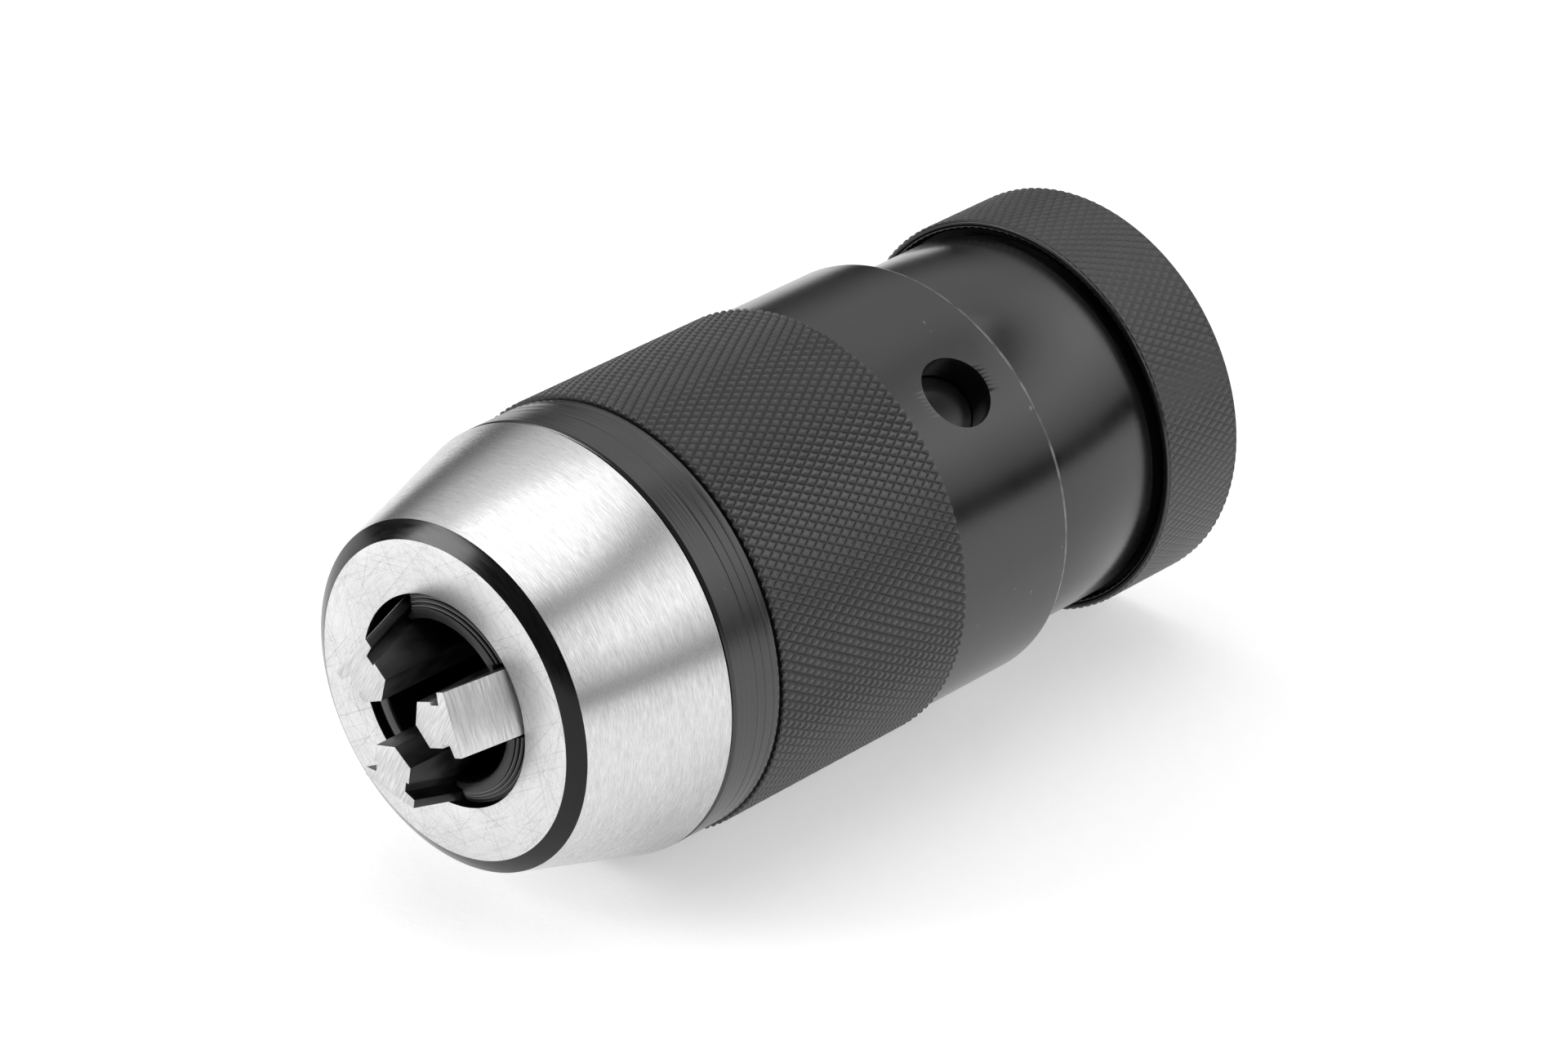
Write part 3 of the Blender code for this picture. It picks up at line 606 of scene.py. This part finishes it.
coat(cap, polished_black, guide_black)
# The groove at the cap's back end and its end face take the guide's deeper black: painted shade
# for the dark gap under the rear ring's front.
paint_faces(cap, 1, lambda radius, station, normal: station > 89.05)
fit(cap, "sleeve_assembly", "black_oxide", "bearing_cap")


# ---- Rear ring ----
# The ring that is held still while the sleeve is turned.  It sits on the body behind the cap and
# overlaps the cap's end with a narrow gap, and its rolled knurl is shallower than the sleeve's.
rear_ring = turn_ring("holding_ring", [
    (22.9, 90.0), (23.2, 90.0), (23.35, 90.15), (23.35, 102.0), (23.15, 102.2), (17.0, 102.2),
    (17.0, 99.6), (13.3, 99.6), (13.3, 91.8), (22.3, 91.8), (22.3, 90.6)])
break_edges(rear_ring, 0.08)
RING_RADIUS = 23.5
fine_knurl = Finish("fine_knurl", Specular_IOR_Level=0.8)
fine_crest = fine_knurl.span(fine_knurl.radius, (RING_RADIUS - 0.09) * MM,
                             (RING_RADIUS - 0.01) * MM)
dust = fine_knurl.speckled(380)
fine_knurl.link_surface(color=fine_knurl.grey(0.006 + fine_crest * dust * 0.03),
                roughness=0.46 - fine_crest * 0.06, height=dust, depth=0.00001)
rear_knurl = knurled_band("ring_knurl", radius=RING_RADIUS, first=90.4, last=101.8, around=124,
                          rows=6, depth=0.10, flank=0.30)
for piece in (rear_ring, rear_knurl):
    coat(piece, satin_black, fine_knurl, guide_black)
# The ring's front face and its recess over the cap take the guide's deeper black: painted shade
# for the shadowed step in front of the ring.
paint_faces(rear_ring, 2, lambda radius, station, normal: station < 92 and radius < 23.25)
paint_faces(rear_knurl, 1, lambda radius, station, normal: True)
join(rear_ring, rear_knurl)
fit(rear_ring, "core", "black_oxide", "rear_ring")


# ---- Taper body ----
# The hardened core that goes on the machine's arbor: a nut in front for the spindle, a flange
# for the bearing, a journal for cap and ring, and a ground B16 taper socket behind.
body = turn_ring("socket_body", [
    (10.2, 45.44), (10.5, 45.74), (10.5, 57.7), (17.8, 57.7), (18.1, 58.0), (18.1, 63.9),
    (17.8, 64.2), (13.0, 64.2), (13.0, 99.6), (12.2, 99.6), (12.2, 101.3), (13.0, 101.3),
    (13.0, 102.6), (12.6, 103.0), (8.3, 103.0), (7.86, 102.55), (7.217, 77.0), (2.5, 77.0),
    (2.5, 74.2), (6.3, 74.2), (6.3, 45.8), (6.65, 45.44)])
break_edges(body, 0.06)
body_ground = Finish("body_ground", Metallic=1.0)
wheel_marks = body_ground.turned(10, 4200, 3.0, 0.6)
body_ground.link_surface(color=body_ground.grey(body_ground.span(wheel_marks, 0.3, 0.7, 0.34, 0.5)),
                 roughness=body_ground.span(wheel_marks, 0.3, 0.7, 0.38, 0.26),
                 height=wheel_marks, depth=0.00001)
coat(body, body_ground)
fit(body, "core", "ground_steel", "taper_body")


# ---- Spindle ----
# The screw that drives the jaws.  Their hooked tails slide in three T-shaped slots in its
# head, and its left-hand thread draws it into the body as the sleeve is turned.
THREAD_PITCH = 3.0
spindle = turn_ring("jaw_screw", [
    (1.0, 23.23), (12.7, 23.23), (13.0, 23.53), (13.0, 32.93), (12.7, 33.23), (5.6, 33.23),
    (5.3, 33.53), (5.3, 61.4), (4.8, 61.99), (1.0, 61.99)])
for turned in JAW_TURNS:
    cut(spindle,
        cutting_block("neck_slot", lay_down(turned), (-1.0, -2.0, -26.0), (26.0, 2.0, -20.0)),
        cutting_block("hook_slot", lay_down(turned), (-1.0, -3.5, -28.63), (26.0, 3.5, -25.7)))
break_edges(spindle, 0.06, angle=35)


def wind(name, profile_turn, sides, size, coil_radius, station, pitch, turns, steps):
    """Winds a round or angular profile forward round the axis, and closes its two ends."""
    bpy.ops.object.select_all(action="DESELECT")
    bpy.ops.mesh.primitive_circle_add(
        vertices=sides, radius=size * MM, rotation=(0, 0, profile_turn),
        location=(coil_radius * MM, NOSE_Y + station * MM, AXIS_Z))
    coil = bpy.context.object
    coil.name = name
    bpy.ops.object.transform_apply(location=True, rotation=True, scale=True)
    bpy.context.scene.cursor.location = (0, 0, AXIS_Z)
    bpy.ops.object.origin_set(type="ORIGIN_CURSOR")
    apply_modifier(coil, "SCREW", axis="Y", angle=-TURN, screw_offset=-pitch * MM,
                   iterations=turns, steps=steps, render_steps=steps)
    bpy.ops.object.transform_apply(location=True, rotation=True, scale=True)
    bpy.ops.object.mode_set(mode="EDIT")
    bpy.ops.mesh.select_all(action="SELECT")
    bpy.ops.mesh.remove_doubles(threshold=MERGE)
    bpy.ops.mesh.fill_holes(sides=0)
    bpy.ops.mesh.select_all(action="SELECT")
    bpy.ops.mesh.normals_make_consistent(inside=False)
    bpy.ops.object.mode_set(mode="OBJECT")
    bpy.ops.object.shade_smooth_by_angle(angle=math.radians(35))
    return coil


thread = wind("screw_thread", profile_turn=math.pi / 4, sides=4, size=0.85, coil_radius=5.39,
              station=60.4, pitch=THREAD_PITCH, turns=8, steps=36)
for piece in (spindle, thread):
    coat(piece, body_ground)
join(spindle, thread)
fit(spindle, "spindle_screw", "bright_steel", "spindle")


# ---- Thrust bearing ----
# Two hardened races, a brass cage and fourteen balls, between the body's flange and the cap.
# They let the sleeve turn on the body under the pull of the tightened jaws.
bearing_steel = Finish("bearing_steel", Metallic=1.0)
lapped = bearing_steel.turned(6, 5000)
bearing_steel.link_surface(color=bearing_steel.grey(bearing_steel.span(lapped, 0.3, 0.7, 0.6, 0.7)),
                   roughness=bearing_steel.span(lapped, 0.3, 0.7, 0.12, 0.2))
RACE_THICKNESS = 2.0
for name, node, body_name, front in (("front_race_turned", "race_front", "core", 64.5),
                                     ("rear_race_turned", "race_rear", "sleeve_assembly", 70.1)):
    rear = front + RACE_THICKNESS
    track = rear if node == "race_front" else front
    sunk = track + (-0.1 if node == "race_front" else 0.1)
    groove = [(16.3, track), (16.0, sunk), (15.4, sunk), (15.1, track)]
    walls = [(18.1, front), (18.1, rear), (13.3, rear), (13.3, front)]
    outline = (walls[:2] + groove + walls[2:] if node == "race_front"
               else walls + groove[::-1])
    race = turn_ring(name, outline, sides=128)
    break_edges(race, 0.15)
    coat(race, bearing_steel)
    fit(race, body_name, "ground_steel", node)

BALL_COUNT, BALL_RADIUS, BALL_PITCH, BALL_STATION = 14, 1.5, 15.7, 68.3
cage = turn_ring("cage_turned", [(18.1, 67.6), (18.1, 69.0), (13.3, 69.0), (13.3, 67.6)],
                 sides=128)
bpy.ops.object.select_all(action="DESELECT")
bpy.ops.mesh.primitive_cylinder_add(
    vertices=32, radius=1.8 * MM, depth=4 * MM, rotation=(math.pi / 2, 0, 0),
    location=(BALL_PITCH * MM, NOSE_Y + BALL_STATION * MM, AXIS_Z))
pockets = bpy.context.object
bpy.ops.object.transform_apply(location=True, rotation=True, scale=True)
bpy.ops.object.mode_set(mode="EDIT")
bpy.ops.mesh.select_all(action="SELECT")
bpy.ops.mesh.spin(steps=BALL_COUNT - 1, dupli=True, angle=TURN * (BALL_COUNT - 1) / BALL_COUNT,
                  center=(0, NOSE_Y, AXIS_Z), axis=(0, 1, 0))
bpy.ops.object.mode_set(mode="OBJECT")
cut(cage, pockets)
break_edges(cage, 0.1)
brass = Finish("stamped_brass", Metallic=1.0)
stamped = brass.speckled(600)
yellow = brass.node("ShaderNodeMix", {"data_type": "RGBA"}, {
    0: brass.span(stamped, 0.35, 0.65), 6: (0.62, 0.43, 0.16, 1), 7: (0.78, 0.58, 0.26, 1)},
    output=2)
brass.link_surface(color=yellow, roughness=brass.span(stamped, 0.35, 0.65, 0.38, 0.28))
coat(cage, brass)
fit(cage, "ball_ring", "cage_brass", "ball_cage")

bpy.ops.object.select_all(action="DESELECT")
bpy.ops.mesh.primitive_cube_add(
    size=2 * MM, location=(BALL_PITCH * MM, NOSE_Y + BALL_STATION * MM, AXIS_Z))
ball = bpy.context.object
bpy.ops.object.mode_set(mode="EDIT")
bpy.ops.mesh.select_all(action="SELECT")
bpy.ops.mesh.subdivide(number_cuts=9)
bpy.ops.transform.tosphere(value=1)
bpy.ops.object.mode_set(mode="OBJECT")
reach = ball.data.vertices[0].co.length
bpy.ops.transform.resize(value=[BALL_RADIUS * MM / reach] * 3)
bpy.ops.object.transform_apply(location=True, rotation=True, scale=True)
bpy.ops.object.shade_smooth()
coat(ball, bearing_steel)
for number in range(BALL_COUNT):
    if number:
        one = bpy.data.objects.new("bearing_ball", ball.data.copy())
        bpy.context.scene.collection.objects.link(one)
        one.data.transform(lay_down(number * TURN / BALL_COUNT) @ lay_down(0).inverted())
    else:
        one = ball
    one.name = f"bearing_ball_{number + 1:02d}"
    fit(one, "ball_ring", "bright_steel", f"ball_{number + 1:02d}")


# ---- Friction spring ----
# A coil of hard wire wrapped round the body's nut.  Its tang is held in the guide, and its
# grip keeps the jaws' setting until a hand turns the sleeve.
WIRE_RADIUS, SPRING_STATION = 0.7, 55.1
spring = wind("grip_spring", profile_turn=0, sides=14, size=WIRE_RADIUS, coil_radius=11.5,
              station=SPRING_STATION, pitch=1.75, turns=4, steps=64)
bpy.ops.object.select_all(action="DESELECT")
bpy.ops.mesh.primitive_cylinder_add(
    vertices=14, radius=WIRE_RADIUS * MM, depth=2.2 * MM, rotation=(0, math.pi / 2, 0),
    location=(12.6 * MM, NOSE_Y + SPRING_STATION * MM, AXIS_Z))
tang = bpy.context.object
bpy.ops.object.transform_apply(location=True, rotation=True, scale=True)
apply_modifier(tang, "BEVEL", width=0.15 * MM, segments=2, limit_method="ANGLE")
bpy.ops.object.shade_smooth_by_angle(angle=math.radians(35))
spring_wire = Finish("spring_wire", Metallic=1.0)
drawn = spring_wire.grain(spring_wire.vector(spring_wire.across * 200, spring_wire.up * 200,
                                             spring_wire.station * 3000))
spring_wire.link_surface(color=spring_wire.grey(spring_wire.span(drawn, 0.3, 0.7, 0.3, 0.42)),
                 roughness=spring_wire.span(drawn, 0.3, 0.7, 0.3, 0.42))
for piece in (spring, tang):
    coat(piece, spring_wire)
join(spring, tang)
fit(spring, "sleeve_assembly", "bright_steel", "friction_spring")


# ---- Circlip ----
# A stamped spring-steel ring, snapped into the body's groove to keep the rear ring on.  Its
# two ears have holes for the pliers.
circlip = copy_solid("circlip", "snap_ring")
EYE_PLACE = Vector((14.95 * MM, 0, -100.45 * MM))
for side in (-1, 1):
    bpy.ops.object.select_all(action="DESELECT")
    eye = lay_down(math.pi / 2 + side * math.radians(30)) @ EYE_PLACE
    bpy.ops.mesh.primitive_cylinder_add(vertices=24, radius=0.6 * MM, depth=4 * MM,
                                        rotation=(math.pi / 2, 0, 0), location=eye)
    cut(circlip, bpy.context.object)
break_edges(circlip, 0.08)
blued = Finish("blued_spring", Metallic=1.0)
stamping = blued.speckled(500)
blued.link_surface(color=blued.grey(blued.span(stamping, 0.3, 0.7, 0.12, 0.2)),
           roughness=blued.span(stamping, 0.3, 0.7, 0.32, 0.45), height=stamping, depth=0.00001)
coat(circlip, blued)
fit(circlip, "core", "bright_steel", "circlip")
